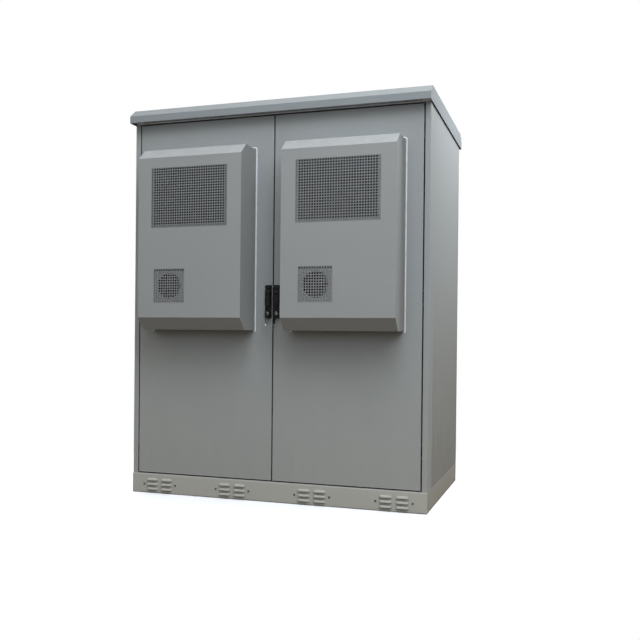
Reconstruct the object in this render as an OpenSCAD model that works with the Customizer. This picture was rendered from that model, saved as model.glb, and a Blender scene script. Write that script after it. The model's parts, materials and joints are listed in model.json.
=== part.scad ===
// Battery storage cabinet with two doors, each carrying a cooling unit.
// Origin: middle of the plinth on the floor, +Z up, doors face -Y, millimetres.

/* [Cabinet] */
// Width over the side panels
cabinet_w = 1560; // [1500:10:1700]
// Depth from the front posts to the rear panel
cabinet_d = 930; // [860:10:1000]
// Height from the floor to the top of the roof
cabinet_h = 2000; // [1960:10:2200]
// Sheet of the carcass, roof and doors
sheet = 2; // [1.5:0.25:2.5]
// Sheet of the side and rear panels
panel_sheet = 1.5; // [1:0.25:2]
// Inner radius of a fold
bend_in = 1; // [0.5:0.25:2]

/* [Plinth] */
// Height of the plinth
plinth_h = 100; // [95:5:160]
// Sheet of the plinth
plinth_sheet = 3; // [2:0.5:4]
// How far the plinth stands proud of the posts and doors
plinth_proud = 3; // [2:0.5:6]
// Width of the plinth flanges
plinth_flange = 60; // [50:5:80]
// Diameter of the anchor holes
anchor_d = 14; // [12:1:18]
// Anchor hole centre from the plinth side
anchor_inset = 35; // [25:1:42]
// Anchor hole centre from the plinth front and rear
anchor_end = 88; // [80:1:120]

/* [Plinth vents] */
// Middle of an inner vent group from the cabinet middle
vent_inner_x = 212; // [180:2:240]
// Middle of an outer vent group from the cabinet middle
vent_outer_x = 622; // [560:2:640]
// Width of one louvre
louvre_w = 61; // [50:1:64]
// Radius of the louvre bulge
louvre_r = 11; // [9:0.5:14]
// Sheet of the pressed louvre
louvre_sheet = 1.5; // [1:0.25:2]
// Distance between the two louvre columns
louvre_pitch_x = 81; // [74:1:84]
// Distance between the louvre rows
louvre_pitch_z = 24; // [19:0.5:25]
// Lower edge of the lowest louvre
louvre_low = 19; // [8:1:22]
// Vent screw from the middle of its group
vent_screw_x = 90; // [84:1:98]
// Diameter of a vent screw head
screw_head_d = 11; // [9:0.5:12]

/* [Frame] */
// Front post from the cabinet side to the door gap
post_w = 27; // [24:1:40]
// Depth of a front post along the side
post_d = 105; // [90:5:130]
// Width of the sealing lips on posts, sill and head
lip_w = 60; // [56:1:75]
// Width of the centre post
centre_post_w = 116; // [108:2:140]
// Depth of the centre post
centre_post_d = 50; // [30:5:70]

/* [Roof] */
// Overhang at the front and rear
roof_over = 50; // [44:1:70]
// Overhang at the sides
roof_side_over = 7; // [5:1:20]
// Height of the upright roof edge
fascia_h = 36; // [20:1:40]
// Rise of the sloping roof edge
roof_bevel_h = 40; // [30:1:50]
// Run of the sloping roof edge
roof_bevel_d = 50; // [40:1:80]
// Roof edge below the top of the head panel
roof_lap = 3; // [2:1:12]
// Distance between the eave holes
eave_pitch = 11; // [9:0.5:18]
// Diameter of the eave holes
eave_hole_d = 7; // [5:0.5:8]

/* [Doors] */
// Gap around the doors
door_gap = 6; // [5:0.5:9]
// Depth of the door pan
door_d = 40; // [38:1:50]
// Width of the flange at the back of the door
door_flange = 50; // [50:1:56]
// Thickness of the door seal
seal_t = 10; // [8:0.5:14]
// Width of the door seal
seal_w = 12; // [8:0.5:13]
// Seal from the edge of the door
seal_in = 35; // [33:0.5:36]

/* [Hinges] */
// Hinge axis from the door edge
hinge_in = 14; // [13:0.5:16]
// Hinge axis behind the door front
hinge_back = 12; // [11:0.5:13]
// Diameter of the hinge pins
hinge_pin_d = 8; // [6:0.5:9]
// Diameter of the hinge eyes
hinge_eye_d = 16; // [13:0.5:17]
// Height of the frame leaf
hinge_leaf_h = 50; // [30:5:80]

/* [Cooling unit] */
// Middle of a cooling unit from the cabinet middle
unit_x = 380; // [370:1:390]
// Width of the outer hood
hood_w = 556; // [520:2:566]
// Top of the hood box below the top edge of the door
hood_drop = 162; // [140:1:190]
// Height of the hood where it meets the door
hood_h = 904; // [880:2:960]
// Depth of the hood sides up to the bevels
hood_box_d = 117; // [90:1:140]
// Depth of the hood to its front
hood_d = 175; // [150:1:200]
// Height of the upper bevel
hood_top_bevel = 52; // [30:1:70]
// Height of the lower bevel
hood_low_bevel = 59; // [30:1:80]
// Sheet of the hood
hood_sheet = 1.5; // [1:0.25:2]
// Width of the hood flange on the door
hood_flange = 7; // [4:0.5:12]
// Distance between the grille holes
grille_pitch = 12.8; // [12:0.1:13.2]
// Diameter of the grille holes
grille_hole_d = 9.6; // [6:0.1:10]
// Holes across the upper grille
grille_columns = 32; // [20:1:34]
// Holes up the upper grille
grille_rows = 23; // [12:1:24]
// Holes along each side of the lower grille
fan_grille_n = 13; // [9:1:14]
// Middle of the upper grille above the hood's lower end
grille_up = 652; // [630:1:670]
// Middle of the lower grille above the hood's lower end
fan_up = 216; // [200:1:240]
// Middle of the lower grille left of the hood middle
fan_off = 105; // [60:1:130]
// Diameter of the fan opening
fan_d = 126; // [100:2:140]
// Depth of the unit behind the door front
unit_d = 130; // [100:2:150]

/* [Handle] */
// Handle middle from the free edge of the door
handle_in = 20; // [19:0.5:24]
// Lower end of the handle
handle_low = 913; // [850:1:1000]
// Height of the handle base
handle_h = 165; // [160:1:190]
// Width of the handle base
handle_w = 33; // [30:0.5:36]
// Thickness of the handle base
handle_t = 6; // [4:0.5:10]
// Lever pivot above the lower end of the handle
spindle_up = 132; // [130:1:138]
// Lock above the lower end of the handle
lock_up = 24; // [22:1:28]
// Length of the lever below its pivot
lever_reach = 70; // [60:1:72]
// Width of the lever
lever_w = 26; // [22:0.5:28]
// Throw of the locking rods
rod_throw = 11; // [9:0.5:11]
// Diameter of the locking rods
rod_d = 8; // [6:0.5:9]

/* [Inside] */
// Room between a side of the cabinet and its bay
bay_edge = 80; // [70:1:120]
// Room between the middle of the cabinet and each bay
bay_inner = 60; // [50:1:110]
// Front of the shelves behind the front posts
bay_front = 175; // [170:1:220]
// Depth of the shelves
bay_d = 670; // [560:5:670]
// Width of the upright legs
upright_leg = 38; // [30:1:40]
// Sheet of the uprights
upright_sheet = 2.5; // [2:0.25:3]
// Lowest shelf above the cabinet floor
shelf_low = 455; // [380:5:480]
// Distance between the shelves
shelf_pitch = 450; // [380:5:460]
// Depth of the shelf flanges
shelf_flange = 30; // [20:1:45]

/* [Hidden] */
$fn = 48;

// Overrun of every cut past the face it leaves
over = 1;
// Steps in a fold
bend_steps = 3;
// Radial clearance of a turning shaft
run_fit = 0.05;
// Clearance between pieces that move past each other
slide_fit = 0.5;
// Clearance of a screw or rod in its hole
hole_fit = 0.4;
// Clearance of the seal to the lips
seal_fit = 0.4;
// Sides of a handed piece
left = -1;
right = 1;
sides = [left, right];

// Colours
coat = [0.53, 0.55, 0.55];
zinc = [0.74, 0.75, 0.76];
black = [0.08, 0.08, 0.09];
rubber = [0.13, 0.13, 0.13];
copper = [0.76, 0.45, 0.27];
fin_alloy = [0.80, 0.83, 0.86];

// Main planes of the cabinet
half_w = cabinet_w / 2;
front_y = -cabinet_d / 2;
rear_y = cabinet_d / 2;
plinth_y = front_y - plinth_proud;
floor_z = plinth_h + sheet;
roof_edge_z = cabinet_h - roof_bevel_h - fascia_h;
body_top = roof_edge_z + roof_lap;
head_z = body_top - sheet;
post_in = half_w - post_w;
seal_y = front_y + door_d + seal_t;
lip_in = post_in - lip_w;
lip_fold = 20;
flange_x = half_w - plinth_sheet;
anchor_x = half_w - anchor_inset;
anchor_y = cabinet_d / 2 - anchor_end;

// Plinth vents
vent_xs = [-vent_outer_x, -vent_inner_x, vent_inner_x, vent_outer_x];
vent_rows = [0, 1, 2];
vent_sides = [-1, 1];
vent_screw_share = 0.25;
vent_screw_z = louvre_low + louvre_pitch_z + vent_screw_share * louvre_r;
filter_w = 212;
filter_low = 6;
filter_h = 80;
filter_t = 6;
filter_rim = 8;
filter_bar = 5;
filter_cells = 7;
screw_d = 5;
screw_head_h = 3;
screw_l = 16;

// Floor and gland plate
gland_w = 420;
gland_d = 190;
gland_t = 3;
gland_y = 150;
gland_lap = 20;
gland_screw_shares = [-0.46, 0, 0.46];

// Side and rear panels
panel_fold = 24;

// Head and roof
rim_h = 22;
roof_half = half_w + roof_side_over;
roof_lip = 6;
rail_x = 500;
rail_w = 70;
rail_foot = 22;
rail_end = 60;
eave_sheet = 1.5;
eave_h = 34;
eave_foot = 18;
eave_hole_z = 8;
eave_row = eave_pitch * sin(60);
eave_end = 30;

// Doors, drawn for the left and mirrored for the right
door_out = post_in - door_gap;
door_free = door_gap / 2;
door_low = floor_z + door_gap;
door_top = head_z - door_gap;
door_h = door_top - door_low;
door_back = front_y + door_d;
door_mid = (door_out + door_free) / 2;
skin_y = front_y + sheet;

// Hinges
hinge_x = door_out - hinge_in;
hinge_y = front_y + hinge_back;
hinge_shares = [0.1, 0.5, 0.9];
hinge_arm = 8;
hinge_foot = 5;
hinge_ear = 6;
hinge_plate = 4;
hinge_plate_in = 31;
hinge_plate_d = 24;
notch_w = 29;
notch_room = 4;

// Cooling unit, drawn about its own middle
hood_top = door_top - hood_drop;
hood_low = hood_top - hood_h;
face_low = hood_low + hood_low_bevel;
face_top = hood_top - hood_top_bevel;
hood_y = front_y - hood_d;
hood_side_y = front_y - hood_box_d;
unit_w = 500;
unit_edge = 27;
unit_low = hood_low + unit_edge;
unit_top = hood_top - unit_edge;
unit_sheet = 2;
unit_lap = 14;
unit_slots = [0, 1, 2, 3, 4, 5, 6, 7, 8, 9];
unit_slot_pitch = 22;
unit_slot_h = 9;
unit_slot_w = 360;
unit_slot_low = 60;
unit_vent_w = 100;
unit_vent_gap = 14;
unit_vents = [-1.5, -0.5, 0.5, 1.5];
unit_vent_drop = 90;
unit_vent_h = 130;
bulkhead_y = front_y - unit_sheet;
coil_edge = 8;
coil_w = grille_columns * grille_pitch + coil_edge;
coil_h = grille_rows * grille_pitch + coil_edge;
coil_z = hood_low + grille_up;
coil_d = 34;
coil_front = 12;
coil_plate = 3;
coil_plate_lap = 6;
fin_pitch = 5;
fin_slot = 2.4;
fin_deep = 9;
fan_z = hood_low + fan_up;
fan_plate = 3;
fan_front = 3;
fan_plate_w = fan_grille_n * grille_pitch + coil_edge;
duct_wall = 3;
fan_hub_d = 46;
fan_motor_l = 34;
fan_strut = 6;
fan_struts = [0, 120, 240];
fan_shaft_d = 8;
rotor_front = 12;
rotor_l = 22;
rotor_gap = 2;
rotor_tip = 3;
blade_n = 7;
blade_t = 2.4;
blade_w = 26;
blade_tilt = 38;

// Handle, rods and lock, drawn for the left and mirrored for the right
handle_x = -(door_free + handle_in);
handle_r = 4;
handle_y = front_y - handle_t;
spindle_z = handle_low + spindle_up;
lock_z = handle_low + lock_up;
cap_h = 15;
cap_t = 11;
boss_h = 38;
boss_t = 10;
boss_in = 2;
spindle_d = 16;
spindle_head_d = 20;
spindle_head_t = 2.5;
tongue_w = 8;
tongue_h = 12;
tongue_l = 13;
lever_t = 11.6;
lever_pin_d = 5;
fork_h = 14;
tip_r = 6;
cam_back = 12;
cam_t = 4;
cam_d = 30;
cam_pin_d = 5;
cam_pin_l = 8;
rod_back = 25;
rod_y = front_y + rod_back;
rod_gap = 11;
rod_end = 0.8;
lug_t = 2;
lug_rim = 3;
lug_room = 1;
lug_lift = 2.4;
upper_lug = 1;
lower_lug = 4;
guide_w = 18;
guide_h = 16;
guide_shares = [0.2, 0.78];
stiff_w = 40;
stiff_d = 24;
stiff_x = 240;
stiff_low = 80;
stiff_gap = 40;
barrel_d = 16;
barrel_l = 30;
barrel_proud = 2;
key_slot_t = 2.4;
key_slot_w = 8;
key_t = 2;
key_in = 14;
key_stem = 6;
bow_d = 22;
bow_t = 3;
bow_hole_d = 5;
bow_hole_in = 5;
ring_d = 18;
ring_wire = 1.6;
ring_fit = 0.6;
blade_l = 26;
key_blade_w = 7;
spare_angle = 20;

// Inside
bay_y = front_y + bay_front;
bay_w = half_w - bay_edge - bay_inner;
bay_x = (half_w - bay_edge + bay_inner) / 2;
bay_back = bay_y + bay_d;
bay_mid = (bay_y + bay_back) / 2;
upright_hole_d = 9;
upright_hole_pitch = 50;
upright_hole_in = 20;
shelf_steps = [0, 1, 2];
shelf_slot_d = 14;
shelf_slot_nx = [-2, -1, 0, 1, 2];
shelf_slot_ny = [-3, -2, -1, 0, 1, 2, 3];
shelf_slot_edge = 32.5;
shelf_slot_gap = 25;
shelf_slot_px = (bay_w - 2 * shelf_slot_edge) / len(shelf_slot_nx);
shelf_slot_w = shelf_slot_px - shelf_slot_gap;
shelf_slot_py = 85;
bar_w = 25;
bar_t = 5;
bar_l = 300;
bar_low = 100;
bar_hole_d = 9;
bar_holes = [-2.5, -1.5, -0.5, 0.5, 1.5, 2.5];
bar_pitch = 42;
bar_stand_d = 22;
bar_stand_l = 25;
bar_stand_share = 0.42;

// Block between two corners, given as ranges along each axis
module span(x, y, z) {
    translate([x[0], y[0], z[0]]) cube([x[1] - x[0], y[1] - y[0], z[1] - z[0]]);
}

// Left pieces as drawn, right pieces mirrored
module on_side(side) {
    if (side == right) mirror([1, 0, 0]) children();
    else children();
}

// Unit direction, its left-hand normal, and a point turned about a centre
function dir(a, b) = (b - a) / norm(b - a);
function across(d) = [-d[1], d[0]];
function turned(p, c, a) = c + [
    (p - c)[0] * cos(a) - (p - c)[1] * sin(a),
    (p - c)[0] * sin(a) + (p - c)[1] * cos(a)];

// A corner of a path rounded to a radius, and a whole path with rounded corners
function corner(a, b, c, r) = let (
    d1 = dir(a, b), d2 = dir(b, c), t = atan2(cross(d1, d2), d1 * d2),
    p = b - d1 * r * abs(tan(t / 2)), m = p + across(d1) * r * sign(t))
    [for (k = [0 : bend_steps]) turned(p, m, t * k / bend_steps)];
function bent(path, r) = [for (i = [0 : len(path) - 1])
    each (i == 0 || i == len(path) - 1) ? [path[i]] : corner(path[i - 1], path[i], path[i + 1], r)];

// Outline of a folded sheet: the path and its offset to the left
function shift(path, i) = let (
    n = len(path) - 1,
    a = across(dir(path[max(i - 1, 0)], path[max(i, 1)])),
    b = across(dir(path[min(i, n - 1)], path[min(i + 1, n)])))
    (a + b) / (1 + a * b);
function outline(path, t) = concat(path,
    [for (i = [len(path) - 1 : -1 : 0]) path[i] + shift(path, i) * t]);

// Sheet folded along a path and drawn out by a length
module folded(path, t, l) {
    linear_extrude(l) polygon(outline(bent(path, t + bend_in), t));
}

// A profile of Y and Z drawn out along X, and a profile of X and Z drawn out along -Y
module along_x(x) {
    translate([x, 0, 0]) rotate([90, 0, 90]) children();
}
module along_y(y) {
    translate([0, y, 0]) rotate([90, 0, 0]) children();
}

// Round bar or bore along -Y from a point, and along X about a point
module bar_y(x, y, z, d, l) {
    translate([x, y, z]) rotate([90, 0, 0]) cylinder(d = d, h = l);
}
module bar_x(x, y, z, d, l) {
    translate([x - l / 2, y, z]) rotate([0, 90, 0]) cylinder(d = d, h = l);
}

// Plate with round corners, flat on its back, in X and Z
module pad(x, z, r) {
    translate([x[0] + r, z[0]]) square([x[1] - x[0] - 2 * r, z[1] - z[0]]);
    translate([x[0], z[0] + r]) square([x[1] - x[0], z[1] - z[0] - 2 * r]);
    for (u = [x[0] + r, x[1] - r], v = [z[0] + r, z[1] - r]) translate([u, v]) circle(r);
}

// Plinth

// Quarter of a round-ended bulge, open along its lower edge
module louvre_form(r, w) {
    rotate([180, -90, 0]) rotate_extrude(angle = 90) intersection() {
        union() {
            translate([-r, r - w / 2]) square([2 * r, w - 2 * r]);
            for (s = vent_sides) translate([0, s * (w / 2 - r)]) circle(r);
        }
        translate([0, -w / 2]) square([r, w]);
    }
}
module each_louvre() {
    for (x = vent_xs, s = vent_sides, k = vent_rows)
        translate([x + s * louvre_pitch_x / 2, plinth_y, louvre_low + k * louvre_pitch_z])
            children();
}
module louvre_cut() {
    r = louvre_r - louvre_sheet;
    louvre_form(r, louvre_w - 2 * louvre_sheet);
    span([r - louvre_w / 2, louvre_w / 2 - r], [0, plinth_sheet + over], [0, r]);
}
module each_vent_screw() {
    for (x = vent_xs, s = vent_sides)
        translate([x + s * vent_screw_x, plinth_y, vent_screw_z]) rotate([90, 0, 0]) children();
}

// Channel across the cabinet, with its face at -Y and its flanges stopped at the side channels
module plinth_channel() {
    path = [[plinth_y + plinth_flange, plinth_h], [plinth_y, plinth_h], [plinth_y, 0],
        [plinth_y + plinth_flange, 0]];
    difference() {
        along_x(-half_w) folded(path, plinth_sheet, cabinet_w);
        for (x = [[-half_w - over, -flange_x], [flange_x, half_w + over]])
            span(x, [plinth_y + plinth_sheet, plinth_y + plinth_flange + over],
                [-over, plinth_h + over]);
    }
}
module plinth_front() color(coat) {
    difference() {
        union() {
            plinth_channel();
            each_louvre() louvre_form(louvre_r, louvre_w);
        }
        each_louvre() louvre_cut();
        each_vent_screw() translate([0, 0, -plinth_sheet - over])
            cylinder(d = screw_d + hole_fit, h = plinth_sheet + 2 * over);
    }
}
module plinth_rear() color(coat) {
    mirror([0, 1, 0]) plinth_channel();
}
module plinth_side(side) color(coat) {
    web_y = plinth_y + plinth_sheet;
    flange_y = plinth_y + plinth_flange;
    path = [[-half_w + plinth_flange, plinth_h], [-half_w, plinth_h], [-half_w, 0],
        [-half_w + plinth_flange, 0]];
    on_side(side) difference() {
        along_y(-web_y) folded(path, plinth_sheet, -2 * web_y);
        for (y = [[web_y - over, flange_y], [-flange_y, -web_y + over]])
            span([-flange_x, -half_w + plinth_flange + over], y, [-over, plinth_h + over]);
        for (y = [-anchor_y, anchor_y])
            translate([-anchor_x, y, -over]) cylinder(d = anchor_d, h = plinth_sheet + 2 * over);
    }
}
module plinth_left() plinth_side(left);
module plinth_right() plinth_side(right);

// Filter frames behind the louvres, and the screws that hold them
module vent_filters() color(black) {
    y = plinth_y + plinth_sheet;
    cell = (filter_w - 2 * filter_rim - 2 * filter_rim + filter_bar) / filter_cells;
    difference() {
        for (x = vent_xs)
            span([x - filter_w / 2, x + filter_w / 2], [y, y + filter_t],
                [filter_low, filter_low + filter_h]);
        for (x = vent_xs, k = [0 : filter_cells - 1])
            span([x - filter_w / 2 + 2 * filter_rim + k * cell,
                x - filter_w / 2 + 2 * filter_rim + (k + 1) * cell - filter_bar],
                [y - over, y + filter_t + over],
                [filter_low + filter_rim, filter_low + filter_h - filter_rim]);
        each_vent_screw() translate([0, 0, -plinth_sheet - filter_t - over])
            cylinder(d = screw_d + hole_fit, h = filter_t + 2 * over);
    }
}
module vent_screws() color(zinc) {
    each_vent_screw() {
        cylinder(d1 = screw_head_d, d2 = screw_head_d - screw_head_h, h = screw_head_h);
        translate([0, 0, -screw_l]) cylinder(d = screw_d, h = screw_l);
    }
}

// Carcass

// Floor with the holes for the lower rods and the cable cut-out
module strike_holes(z) {
    for (s = sides) translate([s * handle_x, rod_y, z - over])
        cylinder(d = rod_d + 2 * hole_fit, h = sheet + 2 * over);
}
module floor_panel() color(coat) {
    difference() {
        span([-half_w, half_w], [front_y, rear_y], [plinth_h, floor_z]);
        strike_holes(plinth_h);
        span([gland_lap - gland_w / 2, gland_w / 2 - gland_lap],
            [gland_y - gland_d / 2 + gland_lap, gland_y + gland_d / 2 - gland_lap],
            [plinth_h - over, floor_z + over]);
    }
}
module gland_plate() color(zinc) {
    span([-gland_w / 2, gland_w / 2], [gland_y - gland_d / 2, gland_y + gland_d / 2],
        [floor_z, floor_z + gland_t]);
    for (u = gland_screw_shares, v = vent_sides)
        translate([u * gland_w, gland_y + v * (gland_d - gland_lap) / 2, floor_z + gland_t])
            cylinder(d = screw_head_d, h = screw_head_h);
}
module front_post(side) color(coat) {
    path = [[-half_w, front_y + post_d], [-half_w, front_y], [-post_in, front_y],
        [-post_in, seal_y], [-lip_in, seal_y], [-lip_in, seal_y + lip_fold]];
    on_side(side) translate([0, 0, floor_z]) folded(path, sheet, head_z - floor_z);
}
module left_front_post() front_post(left);
module right_front_post() front_post(right);

// Post behind the meeting edges of the doors, between the sill and the head
module centre_post() color(coat) {
    w = centre_post_w / 2;
    path = [[-w, seal_y + centre_post_d], [-w, seal_y], [w, seal_y], [w, seal_y + centre_post_d]];
    low = floor_z + lip_w;
    translate([0, 0, low]) folded(path, sheet, head_z - lip_w - low);
}
module side_panel(side) color(coat) {
    y = front_y + post_d;
    path = [[-half_w, rear_y], [-half_w, y], [-half_w + panel_fold, y]];
    on_side(side) translate([0, 0, floor_z]) folded(path, panel_sheet, head_z - floor_z);
}
module left_side_panel() side_panel(left);
module right_side_panel() side_panel(right);

// Lips along the sill and the head that the door seals close on
module frame_lips() color(coat) {
    for (z = [floor_z, head_z - lip_w])
        span([-lip_in, lip_in], [seal_y, seal_y + sheet], [z, z + lip_w]);
}
module rear_panel() color(coat) {
    x = half_w - panel_sheet;
    path = [[x, rear_y - panel_fold], [x, rear_y], [-x, rear_y], [-x, rear_y - panel_fold]];
    translate([0, 0, floor_z]) folded(path, panel_sheet, head_z - floor_z);
}

// Head panel: a tray under the roof, open at the front, with the holes for the upper rods
module top_panel() color(coat) {
    difference() {
        span([-half_w, half_w], [front_y, rear_y], [head_z, body_top + rim_h]);
        span([sheet - half_w, half_w - sheet], [front_y - over, rear_y - sheet],
            [body_top, body_top + rim_h + over]);
        strike_holes(head_z);
    }
}

// Roof
roof_y = rear_y + roof_over;

// Hat rails that carry the roof on the head panel
module roof_rails() color(zinc) {
    w = rail_w / 2;
    top = cabinet_h - 2 * sheet;
    path = [[-w - rail_foot, body_top], [-w, body_top], [-w, top], [w, top], [w, body_top],
        [w + rail_foot, body_top]];
    l = cabinet_d - 2 * rail_end;
    for (s = sides) translate([s * rail_x, 0, 0]) along_y(l / 2) folded(path, sheet, l);
}
module roof_hood() color(coat) {
    edge = [[roof_y, roof_edge_z], [roof_y, roof_edge_z + fascia_h],
        [roof_y - roof_bevel_d, cabinet_h], [roof_bevel_d - roof_y, cabinet_h],
        [-roof_y, roof_edge_z + fascia_h], [-roof_y, roof_edge_z]];
    path = concat([[roof_y - roof_lip, roof_edge_z]], edge, [[roof_lip - roof_y, roof_edge_z]]);
    along_x(sheet - roof_half) folded(path, sheet, 2 * (roof_half - sheet));
    for (x = [-roof_half, roof_half - sheet])
        along_x(x) linear_extrude(sheet) polygon(bent(edge, sheet + bend_in));
}

// Perforated strip that closes the front of the head panel behind the eave
module roof_vent_strip() color(coat) {
    y = front_y + eave_foot;
    top = body_top + eave_h;
    path = [[y, top], [front_y, top], [front_y, body_top], [y, body_top]];
    half_l = half_w - sheet - slide_fit;
    n = floor((half_l - eave_end) / eave_pitch);
    difference() {
        along_x(-half_l) folded(path, eave_sheet, 2 * half_l);
        for (k = [0, 1], i = [-n : n - 1])
            bar_y((i + (k + 1) / 2) * eave_pitch, front_y + eave_sheet + over,
                body_top + eave_hole_z + k * eave_row, eave_hole_d, eave_sheet + 2 * over);
    }
}

// Battery bays

// One upright at the front outer corner of a bay, with the bay middle at zero
module upright() {
    path = [[bay_w / 2, bay_y + upright_leg], [bay_w / 2, bay_y], [bay_w / 2 + upright_leg, bay_y]];
    n = floor((head_z - floor_z) / upright_hole_pitch) - 1;
    difference() {
        translate([0, 0, floor_z]) folded(path, upright_sheet, head_z - floor_z);
        for (k = [1 : n])
            bar_x(bay_w / 2, bay_y + upright_hole_in, floor_z + k * upright_hole_pitch,
                upright_hole_d, 4 * upright_sheet);
    }
}
module uprights(side) color(zinc) {
    translate([side * bay_x, bay_mid, 0]) for (m = [[0, 0], [1, 0], [0, 1], [1, 1]])
        scale([1 - 2 * m[0], 1 - 2 * m[1], 1]) translate([0, -bay_mid, 0]) upright();
}
module left_uprights() uprights(left);
module right_uprights() uprights(right);
module shelf(side, k) {
    top = floor_z + shelf_low + k * shelf_pitch;
    x = bay_w / 2;
    translate([side * bay_x, 0, 0]) difference() {
        span([-x, x], [bay_y, bay_back], [top - shelf_flange, top]);
        span([sheet - x, x - sheet], [bay_y + sheet, bay_back - sheet],
            [top - shelf_flange - over, top - sheet]);
        for (i = shelf_slot_nx, j = shelf_slot_ny)
            translate([i * shelf_slot_px, bay_mid + j * shelf_slot_py, top])
                cube([shelf_slot_w, shelf_slot_d, 3 * sheet], center = true);
    }
}
module shelves(side) color(zinc) {
    for (k = shelf_steps) shelf(side, k);
}
module left_shelves() shelves(left);
module right_shelves() shelves(right);

// Earth bar on two stand-offs, between the bays
module earth_bar() color(copper) {
    y = rear_y - panel_sheet - bar_stand_l;
    z = floor_z + bar_low + bar_l / 2;
    difference() {
        span([-bar_w / 2, bar_w / 2], [y - bar_t, y], [z - bar_l / 2, z + bar_l / 2]);
        for (k = bar_holes) bar_y(0, y + over, z + k * bar_pitch, bar_hole_d, bar_t + 2 * over);
    }
    for (s = vent_sides)
        bar_y(0, y + bar_stand_l, z + s * bar_stand_share * bar_l, bar_stand_d, bar_stand_l);
}

// Hinges

// Frame leaf: an eye on an arm that runs back through the door to a foot on the post lip
module frame_leaf() {
    foot_x = sheet + bend_in + slide_fit - post_in;
    linear_extrude(hinge_leaf_h, center = true) difference() {
        union() {
            translate([-hinge_x, hinge_y]) circle(d = hinge_eye_d);
            translate([-hinge_x - hinge_arm / 2, hinge_y]) square([hinge_arm, seal_y - hinge_y]);
            translate([foot_x, seal_y - hinge_foot])
                square([hinge_arm / 2 - hinge_x - foot_x, hinge_foot]);
        }
        translate([-hinge_x, hinge_y]) circle(d = hinge_pin_d + 2 * run_fit);
    }
}
module hinge_frame_leaves() color(zinc) {
    for (s = sides, k = hinge_shares) on_side(s) translate([0, 0, door_low + k * door_h])
        frame_leaf();
}

// Door leaf: two ears on a plate behind the door skin, with the pin through them
module door_leaf() {
    x = hinge_plate_in - door_out;
    low = hinge_leaf_h / 2 + slide_fit;
    for (z = [-low - hinge_ear, low]) translate([0, 0, z]) linear_extrude(hinge_ear) {
        translate([-hinge_x, hinge_y]) circle(d = hinge_eye_d);
        translate([-hinge_x, hinge_y - hinge_eye_d / 2])
            square([x + hinge_x + hinge_plate / 2, hinge_eye_d]);
    }
    span([x, x + hinge_plate], [skin_y, skin_y + hinge_plate_d], [-low - hinge_ear, low + hinge_ear]);
    translate([-hinge_x, hinge_y, -low - hinge_ear])
        cylinder(d = hinge_pin_d, h = 2 * (low + hinge_ear));
}
module hinge_leaves(side) color(zinc) {
    on_side(side) for (k = hinge_shares) translate([0, 0, door_low + k * door_h]) door_leaf();
}
module left_hinge_leaves() hinge_leaves(left);
module right_hinge_leaves() hinge_leaves(right);

// Doors

// Folded pan with a flanged back, the opening for the cooling unit and the lock and hinge cuts
module door_skin(side) color(coat) {
    path = [[-door_out, door_back], [-door_out, front_y], [-door_free, front_y],
        [-door_free, door_back]];
    notch = hinge_leaf_h / 2 + hinge_ear + notch_room;
    on_side(side) difference() {
        translate([0, 0, door_low]) linear_extrude(door_h) polygon(bent(path, sheet + bend_in));
        span([sheet - door_out, -door_free - sheet], [skin_y, door_back - sheet],
            [door_low + sheet, door_top - sheet]);
        span([door_flange - door_out, -door_free - door_flange], [skin_y, door_back + over],
            [door_low + door_flange, door_top - door_flange]);
        span([-unit_x - unit_w / 2 - slide_fit, unit_w / 2 - unit_x + slide_fit],
            [front_y - over, skin_y + over], [unit_low - slide_fit, unit_top + slide_fit]);
        for (k = hinge_shares)
            span([-door_out - over, notch_w - door_out], [skin_y + over, door_back + over],
                [door_low + k * door_h - notch, door_low + k * door_h + notch]);
        bar_y(handle_x, skin_y + over, spindle_z, spindle_d + 2 * hole_fit, sheet + 2 * over);
        bar_y(handle_x, skin_y + over, lock_z, barrel_d + 2 * hole_fit, sheet + 2 * over);
        for (z = [door_low, door_top - sheet]) translate([handle_x, rod_y, z - over])
            cylinder(d = rod_d + 2 * hole_fit, h = sheet + 2 * over);
    }
}
module left_door_skin() door_skin(left);
module right_door_skin() door_skin(right);

// Channels and rod guides welded inside the pan
module door_stiffeners(side) color(zinc) {
    low = door_low + stiff_low;
    on_side(side) {
        for (s = vent_sides) translate([s * stiff_x - door_mid, 0, low])
            folded([[stiff_w / 2, skin_y], [stiff_w / 2, skin_y + stiff_d],
                [-stiff_w / 2, skin_y + stiff_d], [-stiff_w / 2, skin_y]], sheet,
                unit_low - stiff_gap - low);
        for (k = guide_shares) translate([handle_x, 0, door_low + k * door_h]) difference() {
            span([-guide_w / 2, guide_w / 2], [skin_y, rod_y + rod_d], [-guide_h / 2, guide_h / 2]);
            translate([0, rod_y, -guide_h / 2 - over])
                cylinder(d = rod_d + 2 * hole_fit, h = guide_h + 2 * over);
        }
    }
}
module left_door_stiffeners() door_stiffeners(left);
module right_door_stiffeners() door_stiffeners(right);
module door_seal(side) color(rubber) {
    far = seal_in + seal_w;
    on_side(side) difference() {
        span([seal_in - door_out, -door_free - seal_in], [door_back, seal_y - seal_fit],
            [door_low + seal_in, door_top - seal_in]);
        span([far - door_out, -door_free - far], [door_back - over, seal_y + over],
            [door_low + far, door_top - far]);
    }
}
module left_door_seal() door_seal(left);
module right_door_seal() door_seal(right);

// Cooling units, the same on both doors

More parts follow.
